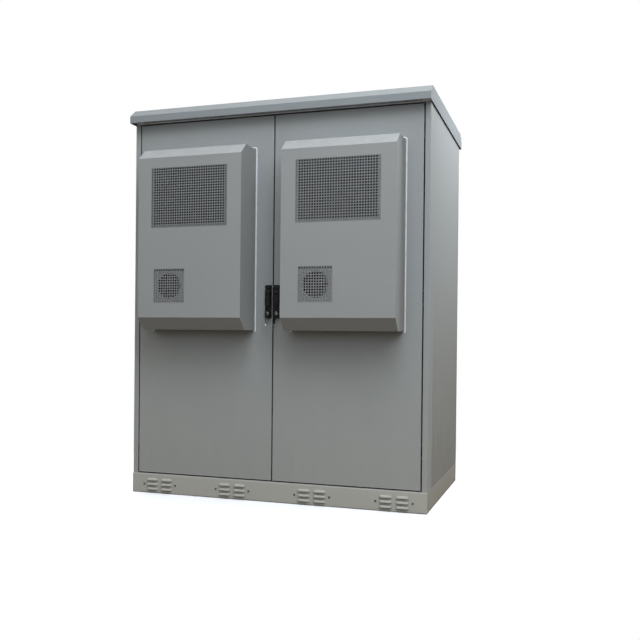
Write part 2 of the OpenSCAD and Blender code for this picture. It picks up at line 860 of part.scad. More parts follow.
module at_unit(side) {
    translate([side * unit_x, 0, 0]) children();
}
module hole_field(nx, nz, z, x) {
    for (i = [0 : nx - 1], j = [0 : nz - 1])
        bar_y(x + (i - (nx - 1) / 2) * grille_pitch, hood_y + hood_sheet + over,
            z + (j - (nz - 1) / 2) * grille_pitch, grille_hole_d, hood_sheet + 2 * over);
}
module unit_hood(side) color(coat) {
    path = [[front_y, hood_top], [hood_side_y, hood_top], [hood_y, face_top], [hood_y, face_low],
        [hood_side_y, hood_low], [front_y, hood_low]];
    x = hood_w / 2;
    at_unit(side) difference() {
        union() {
            along_x(-x) folded(path, hood_sheet, hood_w);
            for (u = [-x, x - hood_sheet])
                along_x(u) linear_extrude(hood_sheet) polygon(bent(path, hood_sheet + bend_in));
            difference() {
                span([-x - hood_flange, x + hood_flange], [front_y - hood_sheet, front_y],
                    [hood_low - hood_flange, hood_top + hood_flange]);
                span([hood_sheet - x, x - hood_sheet], [front_y - 2 * hood_sheet, front_y + over],
                    [hood_low + hood_sheet, hood_top - hood_sheet]);
            }
        }
        hole_field(grille_columns, grille_rows, coil_z, 0);
        hole_field(fan_grille_n, fan_grille_n, fan_z, -fan_off);
    }
}
module left_unit_hood() unit_hood(left);
module right_unit_hood() unit_hood(right);

// Housing through the door, with a bulkhead outside and air slots inside
module unit_chassis(side) color(zinc) {
    x = unit_w / 2;
    back = front_y + unit_d;
    at_unit(side) difference() {
        union() {
            span([-x, x], [bulkhead_y, back], [unit_low, unit_top]);
            span([-x - unit_lap, x + unit_lap], [bulkhead_y, front_y],
                [unit_low - unit_lap, unit_top + unit_lap]);
        }
        span([unit_sheet - x, x - unit_sheet], [front_y, back - unit_sheet],
            [unit_low + unit_sheet, unit_top - unit_sheet]);
        for (k = unit_slots)
            span([-unit_slot_w / 2, unit_slot_w / 2], [back - 2 * unit_sheet, back + over],
                [unit_low + unit_slot_low + k * unit_slot_pitch,
                unit_low + unit_slot_low + k * unit_slot_pitch + unit_slot_h]);
        for (k = unit_vents)
            span([k * (unit_vent_w + unit_vent_gap) - unit_vent_w / 2,
                k * (unit_vent_w + unit_vent_gap) + unit_vent_w / 2],
                [back - 2 * unit_sheet, back + over],
                [unit_top - unit_vent_drop - unit_vent_h, unit_top - unit_vent_drop]);
    }
}
module left_unit_chassis() unit_chassis(left);
module right_unit_chassis() unit_chassis(right);

// Finned coil behind the upper grille, on two side plates
module unit_coil(side) color(fin_alloy) {
    x = coil_w / 2;
    y = hood_y + hood_sheet + coil_front;
    low = coil_z - coil_h / 2;
    n = floor(coil_w / fin_pitch) - 1;
    at_unit(side) {
        translate([0, 0, low]) linear_extrude(coil_h) difference() {
            translate([-x, y]) square([coil_w, coil_d]);
            for (k = [0 : n]) translate([(k - n / 2) * fin_pitch - fin_slot / 2, y - over])
                square([fin_slot, fin_deep + over]);
        }
        for (u = [-x - coil_plate, x])
            span([u, u + coil_plate], [y - coil_plate, bulkhead_y],
                [low - coil_plate_lap, low + coil_h + coil_plate_lap]);
    }
}
module left_unit_coil() unit_coil(left);
module right_unit_coil() unit_coil(right);

// Fan: plate and duct with the motor on struts, and the rotor on the motor shaft
fan_y = hood_y + hood_sheet + fan_front;
rotor_y = fan_y + rotor_front;
motor_y = rotor_y + rotor_l + rotor_gap;
module at_fan(side) {
    at_unit(side) translate([-fan_off, 0, fan_z]) children();
}
module fan_frame(side) color(black) {
    w = fan_plate_w / 2;
    motor_end = motor_y + fan_motor_l;
    at_fan(side) {
        difference() {
            union() {
                span([-w, w], [fan_y, fan_y + fan_plate], [-w, w]);
                bar_y(0, bulkhead_y, 0, fan_d + 2 * duct_wall, bulkhead_y - fan_y);
            }
            bar_y(0, bulkhead_y + over, 0, fan_d, bulkhead_y - fan_y + 2 * over);
        }
        bar_y(0, motor_end, 0, fan_hub_d, fan_motor_l);
        bar_y(0, motor_y + over, 0, fan_shaft_d, rotor_l / 2 + rotor_gap + over);
        for (a = fan_struts) rotate([0, a, 0])
            span([fan_hub_d / 2 - over, fan_d / 2 + duct_wall / 2], [motor_y + fan_strut, motor_end],
                [-fan_strut / 2, fan_strut / 2]);
    }
}
module left_fan_frame() fan_frame(left);
module right_fan_frame() fan_frame(right);
module fan_rotor(side) color(black) {
    at_fan(side) difference() {
        union() {
            bar_y(0, rotor_y + rotor_l, 0, fan_hub_d, rotor_l);
            intersection() {
                bar_y(0, rotor_y + rotor_l, 0, fan_d - 2 * rotor_tip, rotor_l);
                for (k = [0 : blade_n - 1]) rotate([0, k * 360 / blade_n, 0])
                    translate([fan_d / 4, rotor_y + rotor_l / 2, 0]) rotate([blade_tilt, 0, 0])
                        cube([fan_d / 2, blade_t, blade_w], center = true);
            }
        }
        bar_y(0, rotor_y + rotor_l + over, 0, fan_shaft_d + 2 * run_fit, rotor_l / 2 + 2 * over);
    }
}
module left_fan_rotor() fan_rotor(left);
module right_fan_rotor() fan_rotor(right);

// Handles, locks and rods

head_y = handle_y - slide_fit - spindle_head_t;
lever_y = head_y - slide_fit - lever_t / 2;
cam_y = front_y + cam_back;
module handle_base(side) color(black) {
    x = [handle_x - handle_w / 2, handle_x + handle_w / 2];
    in_x = [x[0] + boss_in, x[1] - boss_in];
    top = handle_low + handle_h;
    on_side(side) difference() {
        union() {
            along_y(front_y) linear_extrude(handle_t) pad(x, [handle_low, top], handle_r);
            along_y(handle_y) linear_extrude(cap_t)
                pad(in_x, [top - boss_in - cap_h, top - boss_in], handle_r);
            along_y(handle_y) linear_extrude(boss_t)
                pad(in_x, [handle_low + boss_in, handle_low + boss_in + boss_h], handle_r);
        }
        bar_y(handle_x, front_y + over, spindle_z, spindle_d + 2 * run_fit, handle_t + 2 * over);
        bar_y(handle_x, front_y + over, lock_z, barrel_d + 2 * run_fit,
            handle_t + boss_t + 2 * over);
    }
}
module left_handle_base() handle_base(left);
module right_handle_base() handle_base(right);

// Spindle with the lever tongue in front and the rod cam behind the skin
module spindle(side) color(zinc) {
    on_side(side) {
        difference() {
            union() {
                bar_y(handle_x, cam_y, spindle_z, spindle_d, cam_y - head_y);
                bar_y(handle_x, head_y + spindle_head_t, spindle_z, spindle_head_d, spindle_head_t);
                span([handle_x - tongue_w / 2, handle_x + tongue_w / 2], [head_y - tongue_l, head_y],
                    [spindle_z - tongue_h / 2, spindle_z + tongue_h / 2]);
            }
            bar_x(handle_x, lever_y, spindle_z, lever_pin_d + 2 * run_fit, tongue_w + 2 * over);
        }
        bar_y(handle_x, cam_y + cam_t, spindle_z, cam_d, cam_t);
        for (s = vent_sides)
            bar_y(handle_x, cam_y + cam_t + cam_pin_l, spindle_z + s * rod_throw, cam_pin_d,
                cam_pin_l);
    }
}
module left_spindle() spindle(left);
module right_spindle() spindle(right);

// Lever forked over the tongue, with its pin
module lever(side) color(black) {
    low = spindle_z - lever_reach;
    x = [handle_x - lever_w / 2, handle_x + lever_w / 2];
    on_side(side) {
        difference() {
            intersection() {
                along_x(x[0]) linear_extrude(lever_w) {
                    translate([lever_y, spindle_z]) circle(d = lever_t);
                    translate([lever_y - lever_t / 2, low]) square([lever_t, lever_reach]);
                }
                along_y(lever_y + lever_t) linear_extrude(2 * lever_t)
                    pad(x, [low, spindle_z + lever_t / 2 + over], tip_r);
            }
            span([handle_x - tongue_w / 2 - slide_fit, handle_x + tongue_w / 2 + slide_fit],
                [lever_y - lever_t, lever_y + lever_t], [spindle_z - fork_h, spindle_z + lever_t]);
        }
        bar_x(handle_x, lever_y, spindle_z, lever_pin_d, lever_w - tongue_w);
    }
}
module left_lever() lever(left);
module right_lever() lever(right);

// Rod with a slotted lug over its cam pin, drawn upward from the spindle
module rod(end, lug) {
    y = cam_y + cam_t + lug;
    reach = cam_pin_d / 2 + lug_room;
    x = [-reach, rod_throw + reach];
    z = [rod_throw - reach, rod_throw + lug_lift + reach];
    translate([0, rod_y, rod_throw + rod_gap]) cylinder(d = rod_d, h = end - rod_throw - rod_gap);
    difference() {
        span([x[0] - lug_rim, x[1] + lug_rim], [y, y + lug_t], [z[0] - lug_rim, z[1] + lug_rim]);
        span(x, [y - over, y + lug_t + over], z);
    }
    span([-rod_d / 2, rod_d / 2], [y, rod_y], [z[1] + lug_rim - over, rod_throw + rod_gap + rod_d]);
}
module at_spindle(side, a) {
    on_side(side) translate([handle_x, 0, spindle_z]) rotate([0, a, 0]) children();
}
module upper_rod(side) color(zinc) {
    at_spindle(side, 0) rod(door_top - rod_end - spindle_z, upper_lug);
}
module lower_rod(side) color(zinc) {
    at_spindle(side, 180) rod(spindle_z - door_low - rod_end, lower_lug);
}
module left_upper_rod() upper_rod(left);
module right_upper_rod() upper_rod(right);
module left_lower_rod() lower_rod(left);
module right_lower_rod() lower_rod(right);

// Lock barrel with its key slot, and the keys on their ring
barrel_y = handle_y - boss_t - barrel_proud;
module lock_barrel(side) color(zinc) {
    on_side(side) difference() {
        bar_y(handle_x, barrel_y + barrel_l, lock_z, barrel_d, barrel_l);
        span([handle_x - key_slot_t / 2, handle_x + key_slot_t / 2],
            [barrel_y - over, barrel_y + key_in],
            [lock_z - key_slot_w / 2, lock_z + key_slot_w / 2]);
    }
}
module left_lock_barrel() lock_barrel(left);
module right_lock_barrel() lock_barrel(right);

// One key lying along +Y, with the hole of its bow at zero
module key_form(l) {
    mid = bow_d / 2 - bow_hole_in;
    difference() {
        bar_x(0, mid, 0, bow_d, bow_t);
        bar_x(0, 0, 0, bow_hole_d, bow_t + 2 * over);
    }
    span([-key_t / 2, key_t / 2], [mid + bow_d / 2 - over, mid + bow_d / 2 + l],
        [-key_blade_w / 2, key_blade_w / 2]);
}
module keys(side) color(black) {
    y = barrel_y - key_stem - bow_d + bow_hole_in;
    play = (bow_hole_d - ring_wire) / 2 - ring_fit;
    ring_z = lock_z - play - ring_d / 2;
    on_side(side) {
        translate([handle_x, y, lock_z]) key_form(key_stem + key_in);
        translate([handle_x, y, ring_z]) rotate([90, 0, 0]) rotate_extrude()
            translate([ring_d / 2, 0]) circle(d = ring_wire);
        translate([handle_x, y, ring_z - ring_d / 2 - play]) rotate([0, 0, spare_angle])
            rotate([-90, 0, 0]) key_form(blade_l);
    }
}
module left_keys() keys(left);
module right_keys() keys(right);

plinth_front();
plinth_rear();
plinth_left();
plinth_right();
vent_filters();
vent_screws();
floor_panel();
gland_plate();
left_front_post();
right_front_post();
centre_post();
frame_lips();
left_side_panel();
right_side_panel();
rear_panel();
top_panel();
roof_rails();
roof_hood();
roof_vent_strip();
left_uprights();
right_uprights();
left_shelves();
right_shelves();
earth_bar();
hinge_frame_leaves();
left_door_skin();
left_door_stiffeners();
left_door_seal();
left_hinge_leaves();
left_unit_hood();
left_unit_chassis();
left_unit_coil();
left_fan_frame();
left_fan_rotor();
left_handle_base();
left_spindle();
left_lever();
left_lock_barrel();
left_keys();
left_upper_rod();
left_lower_rod();
right_door_skin();
right_door_stiffeners();
right_door_seal();
right_hinge_leaves();
right_unit_hood();
right_unit_chassis();
right_unit_coil();
right_fan_frame();
right_fan_rotor();
right_handle_base();
right_spindle();
right_lever();
right_lock_barrel();
right_keys();
right_upper_rod();
right_lower_rod();
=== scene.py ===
import json
import math
import bmesh
import bpy
from mathutils import Matrix, Vector

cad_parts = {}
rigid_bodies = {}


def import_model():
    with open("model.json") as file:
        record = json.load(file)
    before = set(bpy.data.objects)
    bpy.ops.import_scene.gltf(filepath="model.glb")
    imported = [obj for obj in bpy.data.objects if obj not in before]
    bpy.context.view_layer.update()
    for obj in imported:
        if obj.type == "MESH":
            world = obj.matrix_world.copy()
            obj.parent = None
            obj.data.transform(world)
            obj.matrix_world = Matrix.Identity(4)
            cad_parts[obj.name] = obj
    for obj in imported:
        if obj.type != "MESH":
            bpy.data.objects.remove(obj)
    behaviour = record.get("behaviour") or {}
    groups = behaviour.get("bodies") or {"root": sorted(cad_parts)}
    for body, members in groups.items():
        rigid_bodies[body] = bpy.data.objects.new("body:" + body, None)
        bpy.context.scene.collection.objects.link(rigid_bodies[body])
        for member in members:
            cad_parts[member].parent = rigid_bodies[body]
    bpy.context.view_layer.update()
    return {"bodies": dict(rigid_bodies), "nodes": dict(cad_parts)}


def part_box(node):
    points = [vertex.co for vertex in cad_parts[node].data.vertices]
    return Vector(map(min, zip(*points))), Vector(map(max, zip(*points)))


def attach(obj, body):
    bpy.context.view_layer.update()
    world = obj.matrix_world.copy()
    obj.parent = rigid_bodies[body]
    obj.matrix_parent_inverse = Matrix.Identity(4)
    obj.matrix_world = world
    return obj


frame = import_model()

# Camera
# A still camera stands to the right of the cabinet's middle, a little below the door handles.
# Its place, turn and lens were fitted to the corners of the body, the hoods and the plinth.
scene = bpy.context.scene
stand = Vector((1.4221, -4.1084, 0.8273))
yaw = -0.31206
pitch = math.radians(-0.281)
roll = math.radians(0.571)
ahead = Vector((math.sin(yaw) * math.cos(pitch), math.cos(yaw) * math.cos(pitch), math.sin(pitch)))
level = Vector((math.cos(yaw), -math.sin(yaw), 0.0))
upright = level.cross(ahead)
across = level * math.cos(roll) + upright * math.sin(roll)
upward = upright * math.cos(roll) - level * math.sin(roll)
lens = bpy.data.cameras.new("photo_lens")
lens.lens = 44.24
lens.sensor_width = 36.0
lens.shift_y = 0.03125
camera = bpy.data.objects.new("photo_camera", lens)
camera.matrix_world = Matrix.Translation(stand) @ Matrix((across, upward, -ahead)).transposed().to_4x4()
scene.collection.objects.link(camera)
scene.camera = camera
scene.view_settings.view_transform = "Standard"

# Daylight
# A soft sky, brightest overhead and dark at the horizon, lights the cabinet from above.
# Seen directly, in polished metal or through a gap it is plain white.


def add(tree, kind, sockets=None, **settings):
    made = tree.nodes.new(kind)
    for name, value in settings.items():
        setattr(made, name, value)
    for name, value in (sockets or {}).items():
        if isinstance(value, bpy.types.NodeSocket):
            tree.links.new(value, made.inputs[name])
        else:
            made.inputs[name].default_value = value
    return made


def reckon(tree, operation, *values, **settings):
    return add(tree, "ShaderNodeMath", dict(enumerate(values)), operation=operation, **settings).outputs[0]


def seen_plainly(tree):
    path = add(tree, "ShaderNodeLightPath").outputs
    direct = reckon(tree, "MAXIMUM", path["Is Camera Ray"], path["Is Glossy Ray"])
    return reckon(tree, "MAXIMUM", direct, path["Is Transmission Ray"])


white = (1.0, 1.0, 1.0, 1.0)
sky = bpy.data.worlds.new("overcast_sky")
scene.world = sky
sky.use_nodes = True
air = sky.node_tree
air.nodes.clear()
aim = add(air, "ShaderNodeTexCoord").outputs["Generated"]
height = add(air, "ShaderNodeSeparateXYZ", {0: aim}).outputs["Z"]
dome = add(air, "ShaderNodeValToRGB", {"Fac": height})
horizon, zenith = dome.color_ramp.elements
horizon.position = 0.0
horizon.color = (0.02, 0.019, 0.018, 1.0)
zenith.position = 1.0
zenith.color = (1.0, 0.956, 0.84, 1.0)
glow = add(air, "ShaderNodeBackground", {"Color": dome.outputs["Color"], "Strength": 1.17})
plain = add(air, "ShaderNodeBackground", {"Color": white, "Strength": 1.0})
shown = add(air, "ShaderNodeMixShader", {0: seen_plainly(air), 1: glow.outputs[0], 2: plain.outputs[0]})
add(air, "ShaderNodeOutputWorld", {"Surface": shown.outputs[0]})

# Lamps
# A high soft box in front throws the long shadows under the eave and the hoods, one on the right
# and a low one soften them. A small one lights the side panel and a rear one the back.


def soft_box(name, place, target, size, power, tint):
    lamp = bpy.data.lights.new(name, "AREA")
    lamp.shape = "RECTANGLE"
    lamp.size, lamp.size_y = size
    lamp.energy = power
    lamp.color = tint
    held = bpy.data.objects.new(name, lamp)
    held.location = place
    held.rotation_euler = (Vector(target) - Vector(place)).to_track_quat("-Z", "Y").to_euler()
    held.visible_camera = False
    scene.collection.objects.link(held)


soft_box("high_box", place=(1.2, -3.0, 5.4), target=(0.0, -0.5, 1.0), size=(2.4, 2.0),
         power=163.0, tint=(0.87, 0.91, 1.0))
soft_box("right_box", place=(3.2, -3.4, 4.0), target=(0.2, -0.4, 1.0), size=(2.2, 2.0),
         power=94.0, tint=(0.89, 0.96, 1.0))
soft_box("low_box", place=(0.6, -5.2, 2.2), target=(0.0, -0.5, 1.0), size=(3.0, 2.0),
         power=60.0, tint=(0.84, 0.88, 1.0))
soft_box("side_box", place=(1.7, 0.4, 2.9), target=(0.8, 0.0, 1.6), size=(1.0, 1.0),
         power=50.0, tint=(0.94, 0.95, 1.0))
soft_box("rear_box", place=(-2.9, 3.7, 3.2), target=(-0.1, 0.4, 1.0), size=(2.4, 2.0),
         power=230.0, tint=(0.92, 0.95, 1.0))

# Ground
# A plain pale floor just below the foot of the plinth keeps the cabinet's soft shadow.
# Its bounce onto the cabinet is that of dry, warm concrete, and away from it the floor fades to white.


def two_colours(tree, share, first, second):
    return add(tree, "ShaderNodeMix", {0: share, 6: first, 7: second}, data_type="RGBA").outputs[2]


def spread(tree, value, span, onto, **settings):
    return add(tree, "ShaderNodeMapRange", {0: value, 1: span[0], 2: span[1], 3: onto[0], 4: onto[1]},
               **settings).outputs[0]


def spot_on(tree):
    return add(tree, "ShaderNodeTexCoord").outputs["Object"]


ground_reach = 30.0
ground_drop = 0.0006
fade_span = (0.95, 1.9)
ground_mesh = bpy.data.meshes.new("ground")
ground_form = bmesh.new()
bmesh.ops.create_circle(ground_form, cap_ends=True, segments=96, radius=ground_reach)
ground_form.to_mesh(ground_mesh)
ground_form.free()
ground = bpy.data.objects.new("ground", ground_mesh)
ground.location = (0.0, 0.0, -ground_drop)
scene.collection.objects.link(ground)
concrete = bpy.data.materials.new("pale_ground")
concrete.use_nodes = True
laid = concrete.node_tree
speckle = add(laid, "ShaderNodeTexNoise", {"Scale": 6.0, "Detail": 5.0}).outputs["Fac"]
bounce = two_colours(laid, speckle, (0.165, 0.135, 0.102, 1.0), (0.205, 0.172, 0.134, 1.0))
seen = seen_plainly(laid)
slab = laid.nodes["Principled BSDF"]
laid.links.new(two_colours(laid, seen, bounce, (0.93, 0.95, 1.0, 1.0)), slab.inputs["Base Color"])
slab.inputs["Roughness"].default_value = 0.9
slab.inputs["Specular IOR Level"].default_value = 0.1
from_middle = add(laid, "ShaderNodeVectorMath", {0: spot_on(laid)}, operation="LENGTH").outputs["Value"]
apart = spread(laid, from_middle, fade_span, (0.0, 1.0), interpolation_type="SMOOTHSTEP")
bleached = reckon(laid, "MULTIPLY", seen, apart)
blank = add(laid, "ShaderNodeEmission", {"Color": white, "Strength": 1.0})
faded = add(laid, "ShaderNodeMixShader", {0: bleached, 1: slab.outputs[0], 2: blank.outputs[0]})
laid.links.new(faded.outputs[0], laid.nodes["Material Output"].inputs["Surface"])
ground.data.materials.append(concrete)

# Plinth
# Channels folded from 3 mm steel carry the body, the front one with louvres pressed outward.
# Their powder coat is the body's, painted lighter as painted light, the front and rear more than the ends,
# and they gather dust and splash near the ground, most at the ends.


def effect(name, given, gives):
    group = bpy.data.node_groups.new(name, "ShaderNodeTree")
    for label, kind, value in given:
        socket = group.interface.new_socket(name=label, in_out="INPUT", socket_type=kind)
        socket.default_value = value
    for label, kind in gives:
        group.interface.new_socket(name=label, in_out="OUTPUT", socket_type=kind)
    return group, add(group, "NodeGroupInput").outputs, add(group, "NodeGroupOutput").inputs


def give(group, gives, **results):
    for label, result in results.items():
        group.links.new(result, gives[label])


def noise(tree, spot, scale, detail, roughness=0.5):
    return add(tree, "ShaderNodeTexNoise", {"Vector": spot, "Scale": scale, "Detail": detail,
                                            "Roughness": roughness}).outputs["Fac"]


grey = (0.5, 0.5, 0.5, 1.0)
colour_mask = [("Colour", "NodeSocketColor"), ("Mask", "NodeSocketFloat")]
colour_relief = [("Colour", "NodeSocketColor"), ("Roughness", "NodeSocketFloat"),
                 ("Height", "NodeSocketFloat")]

coat_grain, given, gives = effect(
    "coat_grain",
    [("Paint", "NodeSocketColor", grey), ("Shade", "NodeSocketColor", grey),
     ("Grain", "NodeSocketFloat", 700.0), ("Satin", "NodeSocketFloat", 0.45),
     ("Matt", "NodeSocketFloat", 0.6)], colour_relief)
spot = spot_on(coat_grain)
cloud = noise(coat_grain, spot, scale=2.2, detail=6.0, roughness=0.6)
fine = noise(coat_grain, spot, scale=given["Grain"], detail=3.0, roughness=0.6)
peel = noise(coat_grain, spot, scale=95.0, detail=2.0)
drift = spread(coat_grain, cloud, (0.3, 0.7), (0.0, 1.0))
tone = two_colours(coat_grain, drift, given["Paint"], given["Shade"])
speck = spread(coat_grain, fine, (0.25, 0.75), (0.86, 1.14))
flecked = add(coat_grain, "ShaderNodeVectorMath", {0: tone, 1: speck}, operation="MULTIPLY").outputs[0]
gloss = spread(coat_grain, cloud, (0.25, 0.75), (given["Satin"], given["Matt"]))
give(coat_grain, gives, Colour=flecked, Roughness=gloss, Height=reckon(coat_grain, "ADD", peel, fine))

# Dust film: a film on upward faces and splashed up from the ground; on the side panels it is painted shade,
# and on the hoods it is partly painted sky light.
dust_and_light_film, given, gives = effect(
    "dust_and_light_film",
    [("Colour", "NodeSocketColor", grey), ("Dust and painted light", "NodeSocketColor", grey),
     ("Splash", "NodeSocketFloat", 0.5), ("Amount", "NodeSocketFloat", 0.4)], colour_mask)
spot = spot_on(dust_and_light_film)
lift = add(dust_and_light_film, "ShaderNodeSeparateXYZ", {0: spot}).outputs["Z"]
low = spread(dust_and_light_film, lift, (0.0, given["Splash"]), (1.0, 0.0))
runs = add(dust_and_light_film, "ShaderNodeMapping", {"Vector": spot, "Scale": (9.0, 9.0, 1.6)}).outputs[0]
streaks = noise(dust_and_light_film, runs, scale=3.0, detail=6.0, roughness=0.65)
broken = spread(dust_and_light_film, streaks, (0.3, 0.75), (0.35, 1.0))
facing = add(dust_and_light_film, "ShaderNodeNewGeometry").outputs["Normal"]
rise = add(dust_and_light_film, "ShaderNodeSeparateXYZ", {0: facing}).outputs["Z"]
ledge = spread(dust_and_light_film, rise, (0.4, 0.95), (0.0, 0.7))
patchy = reckon(dust_and_light_film, "MULTIPLY", reckon(dust_and_light_film, "MAXIMUM", low, ledge), broken)
film = reckon(dust_and_light_film, "MULTIPLY", patchy, given["Amount"], use_clamp=True)
dusted = two_colours(dust_and_light_film, film, given["Colour"], given["Dust and painted light"])
give(dust_and_light_film, gives, Colour=dusted, Mask=film)

# Edge highlight: a painted highlight, a paler grey laid in uneven patches along edges that the Bevel node
# finds rounded, where light would catch the bends.
edge_highlight, given, gives = effect(
    "edge_highlight",
    [("Colour", "NodeSocketColor", grey), ("Highlight", "NodeSocketColor", grey),
     ("Width", "NodeSocketFloat", 0.002)], colour_mask)
eased = add(edge_highlight, "ShaderNodeBevel", {"Radius": given["Width"]}, samples=4).outputs[0]
own = add(edge_highlight, "ShaderNodeNewGeometry").outputs["Normal"]
alike = add(edge_highlight, "ShaderNodeVectorMath", {0: eased, 1: own}, operation="DOT_PRODUCT").outputs["Value"]
turned = spread(edge_highlight, alike, (0.98, 0.8), (0.0, 1.0))
highlight_patches = noise(edge_highlight, spot_on(edge_highlight), scale=45.0, detail=4.0)
uneven = spread(edge_highlight, highlight_patches, (0.35, 0.65), (0.15, 0.8))
wear_and_highlight = reckon(edge_highlight, "MULTIPLY", turned, uneven)
give(edge_highlight, gives, Colour=two_colours(edge_highlight, wear_and_highlight, given["Colour"], given["Highlight"]), Mask=wear_and_highlight)

# Seam shade: painted shade, a near-black colour laid where the Ambient Occlusion node finds other surfaces
# close by, in gaps, seams and recesses.
seam_shade, given, gives = effect(
    "seam_shade",
    [("Colour", "NodeSocketColor", grey), ("Painted shade", "NodeSocketColor", grey),
     ("Reach", "NodeSocketFloat", 0.03)], colour_mask)
shut_in = add(seam_shade, "ShaderNodeAmbientOcclusion", {"Distance": given["Reach"]}, samples=6)
shaded_seam = spread(seam_shade, shut_in.outputs["AO"], (0.45, 0.1), (0.0, 0.9))
give(seam_shade, gives, Colour=two_colours(seam_shade, shaded_seam, given["Colour"], given["Painted shade"]),
     Mask=shaded_seam)


def surface(name, **plain_sockets):
    made = bpy.data.materials.new(name)
    made.use_nodes = True
    shader = made.node_tree.nodes["Principled BSDF"]
    for label, value in plain_sockets.items():
        shader.inputs[label.replace("_", " ")].default_value = value
    return made, made.node_tree, shader.inputs


def use(tree, group, sockets):
    return add(tree, "ShaderNodeGroup", sockets, node_tree=group).outputs


def cover(tree, shader, colour, skin, strength, depth):
    relief = add(tree, "ShaderNodeBump", {"Height": skin["Height"], "Strength": strength,
                                          "Distance": depth})
    tree.links.new(colour, shader["Base Color"])
    tree.links.new(skin["Roughness"], shader["Roughness"])
    tree.links.new(relief.outputs["Normal"], shader["Normal"])


def dress(material, *names):
    for name in names:
        piece = frame["nodes"][name]
        piece.data.materials.clear()
        piece.data.materials.append(material)


def powder_coat(name, paint, shade, dust_and_painted_light, amount, splash, highlight_width, reach=0.03):
    made, tree, shader = surface(name, Specular_IOR_Level=0.08)
    skin = use(tree, coat_grain, {"Paint": paint, "Shade": shade, "Grain": 720.0,
                                  "Satin": 0.76, "Matt": 0.94})
    film = use(tree, dust_and_light_film, {"Colour": skin["Colour"], "Dust and painted light": dust_and_painted_light,
                                    "Splash": splash, "Amount": amount})
    # The near-black seam colour is painted shade in gaps and recesses.
    tint = use(tree, seam_shade, {"Colour": film["Colour"], "Painted shade": (0.012, 0.013, 0.015, 1.0),
                                  "Reach": reach})["Colour"]
    # The paler edge colour is a painted highlight along rounded edges.
    if highlight_width:
        tint = use(tree, edge_highlight, {"Colour": tint, "Highlight": (0.42, 0.44, 0.45, 1.0),
                                    "Width": highlight_width})["Colour"]
    cover(tree, shader, tint, skin, strength=0.22, depth=0.0005)
    return made


road_dust = (0.36, 0.34, 0.29, 1.0)
# Painted light: the plinth's coat is a lighter copy of the body's, the front and rear lightest.
plinth_lit_coat = powder_coat("plinth_lit_coat", (0.330, 0.340, 0.322, 1.0), (0.350, 0.358, 0.338, 1.0),
                          road_dust, amount=0.55, splash=0.22, highlight_width=0.003)
dress(plinth_lit_coat, "plinth_front", "plinth_rear")
plinth_end_lit_coat = powder_coat("plinth_end_lit_coat", (0.285, 0.285, 0.268, 1.0), (0.305, 0.302, 0.282, 1.0),
                              (0.24, 0.22, 0.185, 1.0), amount=0.7, splash=0.22, highlight_width=0.003)
dress(plinth_end_lit_coat, "plinth_left", "plinth_right")

# Plinth filters
# Moulded trays clip dust mats behind the louvres, each held by two pan-head screws.
# The trays are black nylon, and the screws have a black finish.

mould_grain, given, gives = effect(
    "mould_grain",
    [("Colour", "NodeSocketColor", grey), ("Worn", "NodeSocketColor", grey),
     ("Grain", "NodeSocketFloat", 1500.0), ("Satin", "NodeSocketFloat", 0.4),
     ("Matt", "NodeSocketFloat", 0.55)], colour_relief)
spot = spot_on(mould_grain)
leather = add(mould_grain, "ShaderNodeTexVoronoi", {"Vector": spot, "Scale": given["Grain"]})
smear = noise(mould_grain, spot, scale=38.0, detail=5.0)
hand = spread(mould_grain, smear, (0.4, 0.72), (0.0, 1.0))
tone = two_colours(mould_grain, hand, given["Colour"], given["Worn"])
gloss = spread(mould_grain, smear, (0.3, 0.7), (given["Matt"], given["Satin"]))
give(mould_grain, gives, Colour=tone, Roughness=gloss, Height=leather.outputs["Distance"])


def moulded(name, colour, wear_and_highlight, grain, satin, matt, depth):
    made, tree, shader = surface(name, Specular_IOR_Level=0.1)
    skin = use(tree, mould_grain, {"Colour": colour, "Worn": wear_and_highlight, "Grain": grain,
                                   "Satin": satin, "Matt": matt})
    cover(tree, shader, skin["Colour"], skin, strength=0.3, depth=depth)
    return made


filter_nylon = moulded("filter_nylon", (0.020, 0.021, 0.022, 1.0), (0.045, 0.044, 0.040, 1.0),
                       grain=900.0, satin=0.5, matt=0.7, depth=0.0004)
dress(filter_nylon, "vent_filters")

zinc_spangle, given, gives = effect(
    "zinc_spangle",
    [("Bright", "NodeSocketColor", grey), ("Dull", "NodeSocketColor", grey),
     ("Spangle", "NodeSocketFloat", 80.0), ("Smooth", "NodeSocketFloat", 0.3),
     ("Rough", "NodeSocketFloat", 0.5)], colour_relief)
spot = spot_on(zinc_spangle)
flakes = add(zinc_spangle, "ShaderNodeTexVoronoi", {"Vector": spot, "Scale": given["Spangle"]})
flake = add(zinc_spangle, "ShaderNodeSeparateColor", {0: flakes.outputs["Color"]}).outputs[0]
bloom = noise(zinc_spangle, spot, scale=5.0, detail=6.0)
dulled = add(zinc_spangle, "ShaderNodeMix", {0: 0.45, 2: flake, 3: bloom}, data_type="FLOAT").outputs[0]
tone = two_colours(zinc_spangle, dulled, given["Bright"], given["Dull"])
gloss = spread(zinc_spangle, dulled, (0.1, 0.9), (given["Smooth"], given["Rough"]))
give(zinc_spangle, gives, Colour=tone, Roughness=gloss,
     Height=noise(zinc_spangle, spot, scale=420.0, detail=2.0))


def plated(name, bright, dull, spangle, smooth, rough):
    made, tree, shader = surface(name, Metallic=0.9)
    skin = use(tree, zinc_spangle, {"Bright": bright, "Dull": dull, "Spangle": spangle,
                                    "Smooth": smooth, "Rough": rough})
    cover(tree, shader, skin["Colour"], skin, strength=0.08, depth=0.0004)
    return made


screw_black = plated("screw_black", (0.10, 0.10, 0.10, 1.0), (0.05, 0.05, 0.05, 1.0),
                     spangle=260.0, smooth=0.4, rough=0.6)
dress(screw_black, "vent_screws")

